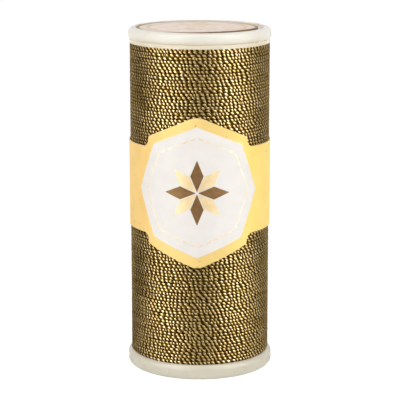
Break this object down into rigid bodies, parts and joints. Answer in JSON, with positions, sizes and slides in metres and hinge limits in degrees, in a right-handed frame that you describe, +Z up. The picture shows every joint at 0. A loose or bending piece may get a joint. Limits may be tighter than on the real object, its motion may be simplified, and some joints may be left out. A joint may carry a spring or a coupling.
{
  "type": "spool of thread",
  "caption": "Small plastic snap spool wound with metallic embroidery thread, with a wrapped paper label, a lift-off thread-catching cap and a bore for a sewing machine's spool pin.",
  "frame": {"origin": "middle of the base, on the surface that the spool stands on", "axes": "+Z up along the barrel, from the base flange to the cap; -Y towards the middle of the label's pointed panel"},
  "size_m": [0.022, 0.022, 0.0517],
  "materials": {
    "spool_plastic": "natural milky moulded polypropylene, satin",
    "cap_plastic": "natural milky moulded polypropylene, satin",
    "inner_thread": "packed layers of dark thread",
    "metallic_thread": "dark yarn wrapped with a pale gold strip, sparkling",
    "label_paper": "gold foil print on coated paper round a pearly white panel",
    "disc_paper": "coated pinkish beige paper"
  },
  "bodies": {
    "spool": {"spool_body": "spool_plastic", "thread_pack": "inner_thread", "thread_winding": "metallic_thread", "label_band": "label_paper"},
    "cap": {"snap_cap": "cap_plastic", "top_disc": "disc_paper"}
  },
  "joints": [
    {"name": "cap_lift", "type": "slide", "parent": "spool", "child": "cap", "axis": [0, 0, 1], "range_m": [0, 0.0025]}
  ]
}
